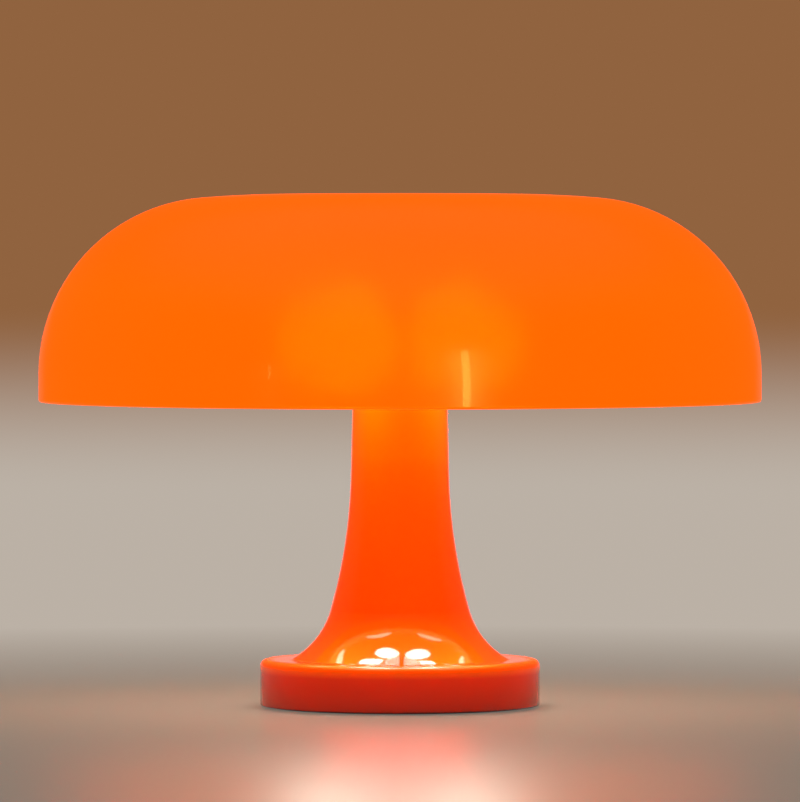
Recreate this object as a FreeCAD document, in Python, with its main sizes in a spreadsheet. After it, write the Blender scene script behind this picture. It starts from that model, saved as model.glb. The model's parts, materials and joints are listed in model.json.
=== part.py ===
import FreeCAD, Part
import math
import operator
import os

import Sketcher

# A table lamp: a wide moulded shade that lifts off, a stem that flares into a round weighted foot, and four
# ball bulbs that hang in an X from a sheet steel bracket on a central tube.
# Millimetres, +Z up, the origin on the table under the middle of the foot, the front towards -Y.

# Driving dimensions. Angles are in degrees, and a level is a height above the table.
SIZES = {
    # Shade
    "shade_radius": 160,
    "shade_wall_height": 12.56,
    "shade_wall": 3,
    "shoulder_radius": 78,
    "crown_radius": 480,
    "flat_top_radius": 48,
    "rim_round": 1.2,
    "shade_boss_depth": 5,
    "shade_boss_wall": 3,
    # Foot and stem, one moulding
    "foot_radius": 62,
    "foot_ledge": 13.7,
    "foot_edge_round": 3,
    "foot_lower_round": 0.6,
    "skirt_level": 0.5,
    "moulding_wall": 3,
    "stem_top_level": 138,
    "stem_top_radius": 21,
    "stem_draft": 1.2,
    "stem_sweep_radius": 239,
    "stem_sweep_end": 16,
    "flare_end": 61.7,
    "flare_root_round": 2.5,
    "boss_inset": 7,
    "boss_radius": 3.5,
    # Foot closure
    "pad_thickness": 1.4,
    "pad_width": 17.2,
    "pad_hole_radius": 4.4,
    "pad_margin": 0.8,
    "cover_land": 0.1,
    "cover_clearance": 0.4,
    "cover_screw_radius": 1.5,
    "cover_screw_length": 9,
    "cover_screw_head_radius": 3.2,
    "cover_screw_recess": 0.2,
    # Ballast
    "ballast_gap": 4,
    "ballast_thickness": 9,
    "ballast_hub_radius": 20,
    "ballast_hub_height": 9.2,
    "ballast_counterbore_radius": 12,
    "ballast_counterbore_roof": 5,
    "ballast_boss_clearance": 0.7,
    "channel_clearance": 2,
    "channel_cover": 3,
    # Cord inlet bush
    "bush_bore_radius": 3.3,
    "bush_neck_radius": 4.9,
    "bush_flange_gap": 0.4,
    "bush_inner_flange": 1.5,
    "bush_outer_flange": 2,
    "bush_lip": 0.8,
    # Terminal block
    "block_inset": 11,
    "block_length": 20,
    "block_height": 10,
    "block_gap": 1.4,
    "block_wall": 2,
    "block_skin": 1,
    "block_recess_depth": 4,
    "clamp_wall": 0.7,
    "clamp_radius": 2.4,
    "clamp_bore_radius": 1.5,
    "clamp_screw_radius": 1.2,
    "clamp_screw_head_radius": 1.9,
    "clamp_screw_head_height": 1.4,
    "clamp_screw_length": 3.4,
    "clamp_screw_inset": 7,
    "block_screw_inset": 12.5,
    "block_screw_radius": 1.5,
    "block_screw_head_radius": 2.7,
    "block_screw_head_height": 2,
    "block_screw_grip": 2,
    # Central tube, its nuts and washers
    "tube_radius": 5,
    "tube_bore_radius": 3.5,
    "tube_end": 1,
    "tube_slot_width": 4.2,
    "tube_slot_length": 7,
    "tube_slot_drop": 16.5,
    "nut_flats": 14,
    "nut_height": 4,
    "washer_radius": 8.5,
    "washer_thickness": 1,
    # Stem cap
    "cap_thickness": 2,
    "cap_spigot_depth": 5,
    "cap_spigot_wall": 2,
    "cap_edge_round": 1,
    # Bracket for the lampholders
    "bracket_thickness": 1.2,
    "bracket_corner": 2,
    # Shade seat
    "seat_radius": 13,
    "seat_gap": 0.2,
    "seat_head_room": 1,
    "seat_roof": 2,
    "seat_key_length": 2.8,
    "seat_key_width": 2.6,
    "seat_key_depth": 4.2,
    "seat_slip": 0.4,
    # Bulbs, measured along their own axis from the contact tip
    "bulb_azimuth": -37,
    "bulb_tilt": 19,
    "globe_gap": 23,
    "globe_radius": 22.5,
    "glass_thickness": 1,
    "neck_radius": 8.2,
    "neck_round": 10,
    "neck_seat": 0.5,
    "neck_length": 1.5,
    "skirt_height": 2,
    "cap_metal": 0.35,
    "cap_taper_height": 3,
    "thread_radius": 6.95,
    "thread_length": 15.6,
    "cap_cone_height": 1.8,
    "cap_mouth_radius": 4.9,
    "insulator_rise": 0.8,
    "insulator_height": 2.6,
    "insulator_face_radius": 3.2,
    "insulator_gap": 0.15,
    "tip_height": 1.4,
    "tip_radius": 2.2,
    "tip_dome": 0.8,
    # Lampholders, on the same axis
    "holder_gap": 5.4,
    "holder_floor": 4,
    "holder_step": 9,
    "holder_step_depth": 0.6,
    "holder_round": 0.8,
    "mouth_wall": 1.6,
    "mouth_clearance": 0.65,
    "mouth_overlap": 1.6,
    "skirt_show": 0.6,
    "cavity_depth": 2.5,
    "cavity_wall": 1.1,
    "shell_clearance": 0.2,
    "shell_metal": 0.6,
    "shell_start": 1.5,
    "contact_metal": 0.5,
    "contact_width": 4,
    "contact_gap": 0.2,
    "contact_foot_gap": 0.4,
    "contact_foot_inner": 3.7,
    "contact_head_reach": 2,
    "contact_head_inner": 1.3,
    "holder_screw_inset": 2.6,
    "holder_screw_radius": 1.5,
    "holder_screw_length": 7,
    "holder_screw_head_radius": 2.4,
    "holder_screw_head_height": 1.8,
    # Leads
    "lead_radius": 0.8,
    "lead_spacing": 2,
    "lead_circle_radius": 2.4,
    "lead_level": 0.5,
    "lead_end_reach": 4,
    "lead_turn_reach": 14,
    "lead_upper_bend": 3,
    "lead_lower_bend": 8,
    "lead_foot_gap": 0.2,
    "lead_slot_width": 4.2,
    "lead_slot_height": 2.2,
    # Fits that many pieces share
    "fit": 0.1,
    "overrun": 1,
}

HOLDERS = 4
BOSSES = 3
FULL_TURN = 360
QUARTER_TURN = 90
HALF_TURN = 180
HEX_SIDES = 6
LEFT = 1
RIGHT = -1
OPERATIONS = {"+": operator.add, "-": operator.sub, "*": operator.mul, "/": operator.truediv}


class Size:
    """A number with the expression that gives it, so that a sum written once both places and binds."""

    def __init__(self, value, text):
        self.value = value
        self.text = text

    def __add__(self, other):
        return joined(self, "+", other)

    def __radd__(self, other):
        return joined(other, "+", self)

    def __sub__(self, other):
        return joined(self, "-", other)

    def __rsub__(self, other):
        return joined(other, "-", self)

    def __mul__(self, other):
        return joined(self, "*", other)

    def __rmul__(self, other):
        return joined(other, "*", self)

    def __truediv__(self, other):
        return joined(self, "/", other)

    def __neg__(self):
        return joined(0, "-", self)


def as_size(number):
    return number if isinstance(number, Size) else Size(float(number), repr(number))


def joined(left, sign, right):
    left = as_size(left)
    right = as_size(right)
    return Size(OPERATIONS[sign](left.value, right.value), f"({left.text} {sign} {right.text})")


def root(size):
    return Size(math.sqrt(size.value), f"sqrt({size.text})")


def sine(angle):
    return Size(math.sin(math.radians(angle.value)), f"sin({angle.text})")


def cosine(angle):
    return Size(math.cos(math.radians(angle.value)), f"cos({angle.text})")


class Place:
    """A position and a turn, as an expression for a feature and as a placement for a shape."""

    def __init__(self, x=0, y=0, z=0, yaw=0, pitch=0, roll=0):
        self.base = [as_size(number) for number in (x, y, z)]
        self.turns = [as_size(number) for number in (yaw, pitch, roll)]

    def text(self):
        base = "; ".join(size.text for size in self.base)
        turns = "; ".join(size.text for size in self.turns)
        return f"placement(vector({base}); rotation({turns}))"

    def placement(self):
        base = FreeCAD.Vector(*[size.value for size in self.base])
        return FreeCAD.Placement(base, FreeCAD.Rotation(*[size.value for size in self.turns]))


class Dimensions:
    """The sheet of driving dimensions, read by alias."""

    def __init__(self, document):
        self.sheet = document.addObject("Spreadsheet::Sheet", "Sizes")
        for row, (alias, value) in enumerate(SIZES.items(), 1):
            self.sheet.set(f"A{row}", alias)
            self.sheet.set(f"B{row}", str(value))
            self.sheet.setAlias(f"B{row}", alias)
        document.recompute()

    def __getattr__(self, alias):
        return Size(float(self.sheet.get(alias)), f"Sizes.{alias}")


doc = FreeCAD.newDocument("table_lamp")
d = Dimensions(doc)
nodes = []


# Helpers for bodies, sketches and features

def new_body(label, place=None):
    body = doc.addObject("PartDesign::Body", label)
    body.Label = label
    if place:
        body.setExpression("Placement", place.text())
    nodes.append(body)
    return body


def origin_feature(body, role):
    return [feature for feature in body.Origin.OriginFeatures if feature.Role == role][0]


def new_sketch(body, plane, place=None):
    sketch = body.newObject("Sketcher::SketchObject", "Sketch")
    sketch.AttachmentSupport = [(origin_feature(body, plane), "")]
    sketch.MapMode = "FlatFace"
    if place:
        sketch.setExpression("AttachmentOffset", place.text())
    return sketch


def bind_constraint(sketch, kind, where, size):
    number = sketch.addConstraint(Sketcher.Constraint(kind, *where, size.value))
    sketch.setExpression(f"Constraints[{number}]", size.text)


def pin_point(sketch, geometry, point, x, y):
    bind_constraint(sketch, "DistanceX", (-1, 1, geometry, point), as_size(x))
    bind_constraint(sketch, "DistanceY", (-1, 1, geometry, point), as_size(y))


def vector_of(corner):
    return FreeCAD.Vector(as_size(corner[0]).value, as_size(corner[1]).value, 0)


def arc_between(start, end, radius, side):
    """The shorter arc from start to end that turns to that side, and its start and end as sketch points."""
    chord = end - start
    across = FreeCAD.Vector(-chord.y, chord.x, 0).normalize()
    rise = math.sqrt(max(radius ** 2 - (chord.Length / 2) ** 2, 0))
    centre = start + chord / 2 + across * (rise * side)
    first, last = (start, end) if side == LEFT else (end, start)
    angles = [math.atan2(point.y - centre.y, point.x - centre.x) for point in (first, last)]
    if angles[1] < angles[0]:
        angles[1] += 2 * math.pi
    circle = Part.Circle(centre, FreeCAD.Vector(0, 0, 1), radius)
    ends = (1, 2) if side == LEFT else (2, 1)
    return Part.ArcOfCircle(circle, *angles), ends


def draw(sketch, corners):
    """Draws a closed outline. A corner is (x, y), or (x, y, radius, side) where an arc arrives at it."""
    pieces = []
    for index, corner in enumerate(corners):
        start = vector_of(corners[index - 1])
        end = vector_of(corner)
        if len(corner) == 4:
            shape, ends = arc_between(start, end, corner[2].value, corner[3])
        else:
            shape, ends = Part.LineSegment(start, end), (1, 2)
        number = sketch.addGeometry(shape)
        pin_point(sketch, number, ends[1], corner[0], corner[1])
        if len(corner) == 4:
            bind_constraint(sketch, "Radius", (number,), corner[2])
        pieces.append((number, ends))
    for index, (number, ends) in enumerate(pieces):
        before, before_ends = pieces[index - 1]
        sketch.addConstraint(Sketcher.Constraint("Coincident", before, before_ends[1], number, ends[0]))


def draw_circle(sketch, x, y, radius):
    centre = vector_of((x, y))
    number = sketch.addGeometry(Part.Circle(centre, FreeCAD.Vector(0, 0, 1), radius.value))
    pin_point(sketch, number, 3, x, y)
    bind_constraint(sketch, "Radius", (number,), radius)


def draw_box(sketch, left, bottom, right, top):
    draw(sketch, [(left, bottom), (right, bottom), (right, top), (left, top)])


def extrude(body, kind, sketch, length, reverse=False, symmetric=False):
    feature = body.newObject(kind, "Extrusion")
    feature.Profile = sketch
    feature.setExpression("Length", length.text)
    feature.Reversed = reverse
    if symmetric:
        feature.SideType = "Symmetric"
    return feature


def pad(body, sketch, length, reverse=False, symmetric=False):
    return extrude(body, "PartDesign::Pad", sketch, length, reverse, symmetric)


def pocket(body, sketch, length, reverse=False):
    """Cuts along the sketch's normal reversed, or along it with reverse, and stops if nothing was cut."""
    doc.recompute()
    before = body.Shape.Volume
    feature = extrude(body, "PartDesign::Pocket", sketch, length, reverse)
    doc.recompute()
    if body.Shape.Volume >= before:
        raise RuntimeError(f"{body.Label}: a pocket cuts nothing")
    return feature


def revolve(body, kind, corners, place=None):
    sketch = new_sketch(body, "XZ_Plane", place)
    draw(sketch, corners)
    feature = body.newObject(kind, "Turned")
    feature.Profile = sketch
    feature.ReferenceAxis = (sketch, ["V_Axis"])
    feature.Angle = FULL_TURN
    return feature


def turned(body, corners, place=None):
    return revolve(body, "PartDesign::Revolution", corners, place)


def grooved(body, corners, place=None):
    return revolve(body, "PartDesign::Groove", corners, place)


def around(body, features, count):
    pattern = body.newObject("PartDesign::PolarPattern", "Around")
    pattern.Originals = features
    pattern.Axis = (origin_feature(body, "Z_Axis"), [""])
    pattern.Angle = FULL_TURN
    pattern.Occurrences = count
    body.Tip = pattern
    return pattern


def at_level(level):
    return Place(z=level)


# Radii and levels that several pieces share

foot_inner_radius = d.foot_radius - d.moulding_wall
boss_pitch_radius = foot_inner_radius - d.boss_inset
stem_inner_radius = d.stem_top_radius - d.moulding_wall / cosine(d.stem_draft)
tube_hole_radius = d.tube_radius + d.fit

# The foot is as high as what it holds: felt, cover, terminal block and the ballast over its channel.
cover_thickness = d.cover_screw_recess + d.cover_screw_head_radius - d.cover_screw_radius + d.cover_land
cover_top = d.pad_thickness + cover_thickness
inlet_level = cover_top + d.block_gap + d.block_height / 2
channel_roof = inlet_level + d.block_height / 2
foot_ceiling = channel_roof + d.channel_cover
foot_top = foot_ceiling + d.moulding_wall

# The terminal block's two sleeves lie on both sides of the screw that holds the block.
clamp_offset = d.clamp_radius + d.block_screw_radius + d.clamp_wall
block_half_recess = clamp_offset + d.clamp_radius
block_half_width = block_half_recess + d.block_wall

# The ballast hangs from the foot's ceiling, the block is screwed under it near its back edge, and the
# tube's lower nut sits in its counterbore.
ballast_radius = foot_inner_radius - d.ballast_gap
block_back = ballast_radius - d.block_inset
block_front = block_back - d.block_length
ballast_bottom = foot_ceiling - d.ballast_thickness
ballast_hub_top = foot_ceiling + d.ballast_hub_height
foot_washer_level = ballast_hub_top - d.ballast_counterbore_roof - d.washer_thickness
foot_nut_level = foot_washer_level - d.nut_height
tube_bottom = foot_nut_level - d.tube_end

# The leads turn towards the back below the tube and run out level with the inlet.
lead_turn_level = tube_bottom - d.lead_foot_gap
lead_foot_bend = lead_turn_level - inlet_level

# The stem cap, its washer and its nut stack up on the stem.
cap_top = d.stem_top_level + d.cap_thickness
stem_nut_level = cap_top + d.washer_thickness

# Along a bulb's own axis, from the contact tip: insulator, metal cap, thread, skirt, glass neck and globe.
cap_mouth_level = d.tip_height + d.insulator_rise
thread_start = cap_mouth_level + d.cap_cone_height
thread_end = thread_start + d.thread_length
skirt_start = thread_end + d.cap_taper_height
skirt_end = skirt_start + d.skirt_height
skirt_inner_radius = d.neck_radius + d.fit
skirt_outer_radius = skirt_inner_radius + d.cap_metal
neck_start = skirt_start + d.neck_seat
neck_end = neck_start + d.neck_length
globe_span = d.globe_radius + d.neck_round
globe_across = d.neck_radius + d.neck_round
globe_rise = root(globe_span * globe_span - globe_across * globe_across)
globe_distance = neck_end + globe_rise
bulb_length = globe_distance + d.globe_radius

# The lampholder fits round the cap: its mouth round the skirt, its shell round the thread.
mouth_radius = skirt_outer_radius + d.mouth_clearance
holder_front_radius = mouth_radius + d.mouth_wall
holder_radius = holder_front_radius + d.holder_step_depth
holder_back = d.cavity_depth + d.holder_floor
holder_mouth = skirt_end - d.skirt_show
holder_mouth_step = thread_end - d.mouth_overlap
shell_inner_radius = d.thread_radius + d.shell_clearance
shell_outer_radius = shell_inner_radius + d.shell_metal
holder_screw_offset = holder_radius - d.holder_screw_inset
cavity_radius = holder_screw_offset - d.holder_screw_radius - d.fit - d.cavity_wall

# The four lampholders stand back to back round the tube at one gap, and each bulb leans outwards.
lean = sine(d.bulb_tilt)
drop = cosine(d.bulb_tilt)
holder_back_reach = (holder_radius + d.holder_gap / 2) / sine(as_size(HALF_TURN / HOLDERS))
tip_reach = holder_back_reach + holder_back * lean
tip_level = d.stem_top_level + d.globe_gap + globe_distance * drop
holder_back_level = tip_level + holder_back * drop

# The bracket's tabs lie on the backs of the lampholders and meet its flat middle at the bend.
bracket_half_width = holder_radius + d.bracket_corner
bend_offset = (holder_back_reach - bracket_half_width) / drop
bracket_level = holder_back_level - bend_offset * lean
bracket_top = bracket_level + d.bracket_thickness
lower_washer_level = bracket_level - d.washer_thickness
lower_nut_level = lower_washer_level - d.nut_height
upper_nut_level = bracket_top + d.washer_thickness
upper_nut_top = upper_nut_level + d.nut_height
tube_top = upper_nut_top + d.tube_end
slot_middle = tip_level - d.tube_slot_drop

# The seat covers the end of the tube, and the shade's flat top lies just over the seat.
seat_top = tube_top + d.seat_head_room + d.seat_roof
ceiling_level = seat_top + d.seat_gap
shade_top = ceiling_level + d.shade_wall


def azimuth_of(index):
    return d.bulb_azimuth + index * FULL_TURN / HOLDERS


def holder_place(index):
    """The frame of a bulb and its lampholder: at the contact tip, +Z out of the socket, +X to the tube."""
    azimuth = azimuth_of(index)
    return Place(
        tip_reach * cosine(azimuth), tip_reach * sine(azimuth), tip_level, azimuth, HALF_TURN - d.bulb_tilt
    )


between_holders = Place(yaw=d.bulb_azimuth + FULL_TURN / HOLDERS / 2)


# The shade: a vertical wall, one round shoulder, a slow crown and a flat top

def make_shade():
    body = new_body("shade", between_holders)
    crown_level = shade_top - d.crown_radius
    shoulder_reach = d.shade_radius - d.shoulder_radius
    span = d.crown_radius - d.shoulder_radius
    across = shoulder_reach - d.flat_top_radius
    rise = root(span * span - across * across)
    shoulder_level = crown_level + rise
    rim_level = shoulder_level - d.shade_wall_height

    def on_crown(radius):
        return d.flat_top_radius + radius * across / span, crown_level + radius * rise / span

    inner_radius = d.shade_radius - d.shade_wall
    inner_shoulder = d.shoulder_radius - d.shade_wall
    inner_crown = d.crown_radius - d.shade_wall
    boss_inner = d.seat_radius + d.seat_slip
    boss_outer = boss_inner + d.shade_boss_wall
    boss_level = ceiling_level - d.shade_boss_depth
    turned(body, [
        (0, shade_top),
        (0, ceiling_level),
        (boss_inner, ceiling_level),
        (boss_inner, boss_level),
        (boss_outer, boss_level),
        (boss_outer, ceiling_level),
        (d.flat_top_radius, ceiling_level),
        (*on_crown(inner_crown), inner_crown, RIGHT),
        (inner_radius, shoulder_level, inner_shoulder, RIGHT),
        (inner_radius, rim_level + d.rim_round),
        (inner_radius + d.rim_round, rim_level, d.rim_round, LEFT),
        (d.shade_radius - d.rim_round, rim_level),
        (d.shade_radius, rim_level + d.rim_round, d.rim_round, LEFT),
        (d.shade_radius, shoulder_level),
        (*on_crown(d.crown_radius), d.shoulder_radius, LEFT),
        (d.flat_top_radius, shade_top, d.crown_radius, LEFT),
    ])
    notch = new_sketch(body, "XY_Plane", at_level(ceiling_level))
    half_notch = d.seat_key_width / 2 + d.seat_slip
    draw_box(notch, boss_inner - d.overrun, -half_notch, boss_outer + d.overrun, half_notch)
    cut = pocket(body, notch, d.shade_boss_depth + d.overrun)
    around(body, [cut], HOLDERS)


# The foot and stem: one hollow moulding whose inner faces follow the outer ones at one wall

def make_foot_and_stem():
    body = new_body("foot_and_stem")
    draft_sine = sine(d.stem_draft)
    draft_cosine = cosine(d.stem_draft)
    sweep_sine = sine(d.stem_sweep_end)
    sweep_cosine = cosine(d.stem_sweep_end)

    # The straight and the flare share the reach and the height that the sweep leaves over the foot's ledge.
    slope = draft_sine / draft_cosine
    sweep_in = d.stem_sweep_radius * (draft_cosine - sweep_cosine)
    sweep_down = d.stem_sweep_radius * (sweep_sine - draft_sine)
    reach_left = d.foot_radius - d.foot_ledge - d.stem_top_radius - sweep_in
    height_left = d.stem_top_level - foot_top - sweep_down
    flare_in_share = sweep_cosine - cosine(d.flare_end)
    flare_down_share = sine(d.flare_end) - sweep_sine
    flare_radius = (reach_left - height_left * slope) / (flare_in_share - flare_down_share * slope)
    stem_straight = (height_left - flare_radius * flare_down_share) / draft_cosine

    straight_reach = d.stem_top_radius + stem_straight * draft_sine
    straight_level = d.stem_top_level - stem_straight * draft_cosine
    sweep_reach = straight_reach + d.stem_sweep_radius * draft_cosine
    sweep_level = straight_level + d.stem_sweep_radius * draft_sine
    flare_reach = sweep_reach - (d.stem_sweep_radius - flare_radius) * sweep_cosine
    flare_level = sweep_level - (d.stem_sweep_radius - flare_radius) * sweep_sine
    root_level = foot_top + d.flare_root_round
    root_span = flare_radius - d.flare_root_round
    root_fall = flare_level - root_level
    root_across = root(root_span * root_span - root_fall * root_fall)
    root_reach = flare_reach - root_across
    inner_sweep = d.stem_sweep_radius + d.moulding_wall
    inner_flare = flare_radius + d.moulding_wall
    inner_fall = flare_level - foot_ceiling
    inner_root_reach = flare_reach - root(inner_flare * inner_flare - inner_fall * inner_fall)
    turned(body, [
        (stem_inner_radius, d.stem_top_level),
        (sweep_reach - inner_sweep * draft_cosine, sweep_level - inner_sweep * draft_sine),
        (
            flare_reach - inner_flare * sweep_cosine,
            flare_level - inner_flare * sweep_sine,
            inner_sweep,
            LEFT,
        ),
        (inner_root_reach, foot_ceiling, inner_flare, LEFT),
        (foot_inner_radius, foot_ceiling),
        (foot_inner_radius, d.skirt_level),
        (d.foot_radius - d.foot_lower_round, d.skirt_level),
        (d.foot_radius, d.skirt_level + d.foot_lower_round, d.foot_lower_round, LEFT),
        (d.foot_radius, foot_top - d.foot_edge_round),
        (d.foot_radius - d.foot_edge_round, foot_top, d.foot_edge_round, LEFT),
        (root_reach, foot_top),
        (
            flare_reach - root_across * flare_radius / root_span,
            flare_level - root_fall * flare_radius / root_span,
            d.flare_root_round,
            RIGHT,
        ),
        (
            sweep_reach - d.stem_sweep_radius * sweep_cosine,
            sweep_level - d.stem_sweep_radius * sweep_sine,
            flare_radius,
            RIGHT,
        ),
        (straight_reach, straight_level, d.stem_sweep_radius, RIGHT),
        (d.stem_top_radius, d.stem_top_level),
    ])
    bosses = new_sketch(body, "XY_Plane", at_level(cover_top))
    draw_circle(bosses, 0, -boss_pitch_radius, d.boss_radius)
    draw_circle(bosses, 0, -boss_pitch_radius, d.cover_screw_radius + d.fit)
    posts = pad(body, bosses, foot_ceiling + d.moulding_wall / 2 - cover_top)
    around(body, [posts], BOSSES)
    inlet = new_sketch(body, "XZ_Plane")
    draw_circle(inlet, 0, inlet_level, d.bush_neck_radius + d.fit)
    pocket(body, inlet, d.foot_radius + d.overrun)


def make_ballast_plate():
    body = new_body("ballast_plate")
    turned(body, [
        (tube_hole_radius, ballast_hub_top),
        (tube_hole_radius, foot_washer_level + d.washer_thickness),
        (d.ballast_counterbore_radius, foot_washer_level + d.washer_thickness),
        (d.ballast_counterbore_radius, ballast_bottom),
        (ballast_radius, ballast_bottom),
        (ballast_radius, foot_ceiling),
        (d.ballast_hub_radius, foot_ceiling),
        (d.ballast_hub_radius, ballast_hub_top),
    ])
    channel = new_sketch(body, "XZ_Plane")
    half_width = block_half_width + d.channel_clearance
    draw_box(channel, -half_width, ballast_bottom - d.overrun, half_width, channel_roof)
    pocket(body, channel, ballast_radius + d.overrun)
    tapped = new_sketch(body, "XY_Plane", at_level(foot_ceiling + d.overrun))
    draw_circle(tapped, 0, block_front + d.block_screw_inset, d.block_screw_radius + d.fit)
    pocket(body, tapped, d.ballast_thickness)
    notches = new_sketch(body, "XY_Plane", at_level(foot_ceiling + d.overrun))
    draw_circle(notches, 0, -boss_pitch_radius, d.boss_radius + d.ballast_boss_clearance)
    cut = pocket(body, notches, d.ballast_thickness + d.overrun + d.overrun)
    around(body, [cut], BOSSES)


# What closes the foot

boss_place = Place(x=boss_pitch_radius)
boss_turn = Place(yaw=-QUARTER_TURN)


def make_bottom_cover():
    body = new_body("bottom_cover", boss_turn)
    cover_radius = foot_inner_radius - d.cover_clearance
    turned(body, [
        (0, d.pad_thickness),
        (cover_radius, d.pad_thickness),
        (cover_radius, cover_top),
        (0, cover_top),
    ])
    screw_hole = d.cover_screw_radius + d.fit
    head_hole = d.cover_screw_head_radius + d.fit
    sink = grooved(body, [
        (0, d.pad_thickness - d.overrun),
        (head_hole, d.pad_thickness - d.overrun),
        (head_hole, d.pad_thickness + d.cover_screw_recess),
        (screw_hole, d.pad_thickness + d.cover_screw_recess + head_hole - screw_hole),
        (screw_hole, cover_top + d.overrun),
        (0, cover_top + d.overrun),
    ], boss_place)
    around(body, [sink], BOSSES)


def make_cover_screws():
    body = new_body("cover_screws", boss_turn)
    head_level = d.pad_thickness + d.cover_screw_recess
    screw = turned(body, [
        (0, head_level),
        (d.cover_screw_head_radius, head_level),
        (d.cover_screw_radius, head_level + d.cover_screw_head_radius - d.cover_screw_radius),
        (d.cover_screw_radius, head_level + d.cover_screw_length),
        (0, head_level + d.cover_screw_length),
    ], boss_place)
    around(body, [screw], BOSSES)


def make_foot_pad():
    body = new_body("foot_pad", boss_turn)
    pad_radius = foot_inner_radius - d.pad_margin
    pad_inner_radius = pad_radius - d.pad_width
    turned(body, [
        (pad_inner_radius, 0),
        (pad_radius, 0),
        (pad_radius, d.pad_thickness),
        (pad_inner_radius, d.pad_thickness),
    ])
    hole = new_sketch(body, "XY_Plane", at_level(d.pad_thickness + d.overrun))
    draw_circle(hole, boss_pitch_radius, 0, d.pad_hole_radius)
    cut = pocket(body, hole, d.pad_thickness + d.overrun + d.overrun)
    around(body, [cut], BOSSES)


def make_cord_inlet_bush():
    body = new_body("cord_inlet_bush", Place(z=inlet_level, roll=-QUARTER_TURN))
    groove_inner = foot_inner_radius - d.cover_clearance
    inner_end = groove_inner - d.bush_inner_flange
    groove_outer = d.foot_radius + d.fit
    outer_end = groove_outer + d.bush_outer_flange
    flange_radius = inlet_level - cover_top - d.bush_flange_gap
    turned(body, [
        (d.bush_bore_radius, inner_end),
        (flange_radius, inner_end),
        (flange_radius, groove_inner),
        (d.bush_neck_radius, groove_inner),
        (d.bush_neck_radius, groove_outer),
        (flange_radius, groove_outer),
        (flange_radius, outer_end - d.bush_lip),
        (flange_radius - d.bush_lip, outer_end, d.bush_lip, LEFT),
        (d.bush_bore_radius, outer_end),
    ])


# The terminal block: two brass sleeves in a moulding, level with the leads and the inlet

block_bottom = inlet_level - d.block_height / 2
clamp_start = block_front + d.block_recess_depth
clamp_length = d.block_length - d.block_recess_depth - d.block_recess_depth
clamp_screw_place = block_front + d.clamp_screw_inset
block_screw_place = block_front + d.block_screw_inset
clamp_screw_bottom = inlet_level - d.clamp_bore_radius - d.clamp_screw_length
block_screw_seat = block_bottom + d.block_screw_head_height


def block_sketch(body, distance):
    """A sketch that looks along the block, at a distance from the lamp's axis."""
    return new_sketch(body, "XZ_Plane", at_level(-distance))


def make_terminal_block():
    body = new_body("terminal_block")
    recess_bottom = block_bottom + d.block_skin
    recess_top = channel_roof - d.block_skin
    outline = block_sketch(body, block_front)
    draw_box(outline, -block_half_width, block_bottom, block_half_width, channel_roof)
    pad(body, outline, d.block_length, reverse=True)
    front = block_sketch(body, block_front)
    draw_box(front, -block_half_recess, recess_bottom, block_half_recess, recess_top)
    pocket(body, front, d.block_recess_depth)
    back = block_sketch(body, block_back - d.block_recess_depth)
    draw_box(back, -block_half_recess, recess_bottom, block_half_recess, recess_top)
    pocket(body, back, d.block_recess_depth + d.overrun)
    ways = block_sketch(body, block_front)
    below = new_sketch(body, "XY_Plane", at_level(block_bottom))
    heads = new_sketch(body, "XY_Plane", at_level(block_bottom))
    for side in (LEFT, RIGHT):
        draw_circle(ways, side * clamp_offset, inlet_level, d.clamp_radius + d.fit)
        draw_circle(below, side * clamp_offset, clamp_screw_place, d.clamp_screw_head_radius + d.fit)
    pocket(body, ways, d.block_length)
    draw_circle(below, 0, block_screw_place, d.block_screw_radius + d.fit)
    pocket(body, below, d.block_height, reverse=True)
    draw_circle(heads, 0, block_screw_place, d.block_screw_head_radius + d.fit)
    pocket(body, heads, d.block_screw_head_height, reverse=True)


def make_terminal_clamps():
    body = new_body("terminal_clamps")
    sleeves = block_sketch(body, clamp_start)
    holes = new_sketch(body, "XY_Plane", at_level(clamp_screw_bottom))
    for side in (LEFT, RIGHT):
        draw_circle(sleeves, side * clamp_offset, inlet_level, d.clamp_radius)
        draw_circle(sleeves, side * clamp_offset, inlet_level, d.clamp_bore_radius)
        draw_circle(holes, side * clamp_offset, clamp_screw_place, d.clamp_screw_radius + d.fit)
    pad(body, sleeves, clamp_length, reverse=True)
    pocket(body, holes, d.clamp_screw_length + d.clamp_bore_radius, reverse=True)


def make_terminal_screws():
    body = new_body("terminal_screws")
    shanks = new_sketch(body, "XY_Plane", at_level(clamp_screw_bottom))
    heads = new_sketch(body, "XY_Plane", at_level(clamp_screw_bottom))
    for side in (LEFT, RIGHT):
        draw_circle(shanks, side * clamp_offset, clamp_screw_place, d.clamp_screw_radius)
        draw_circle(heads, side * clamp_offset, clamp_screw_place, d.clamp_screw_head_radius)
    pad(body, shanks, d.clamp_screw_length)
    pad(body, heads, d.clamp_screw_head_height)


def make_block_screw():
    body = new_body("block_screw")
    shank = new_sketch(body, "XY_Plane", at_level(block_screw_seat))
    draw_circle(shank, 0, block_screw_place, d.block_screw_radius)
    pad(body, shank, channel_roof + d.block_screw_grip - block_screw_seat)
    head = new_sketch(body, "XY_Plane", at_level(block_screw_seat))
    draw_circle(head, 0, block_screw_place, d.block_screw_head_radius)
    pad(body, head, d.block_screw_head_height - d.fit, reverse=True)


# The central tube, with a slot towards each lampholder for its two leads

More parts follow.
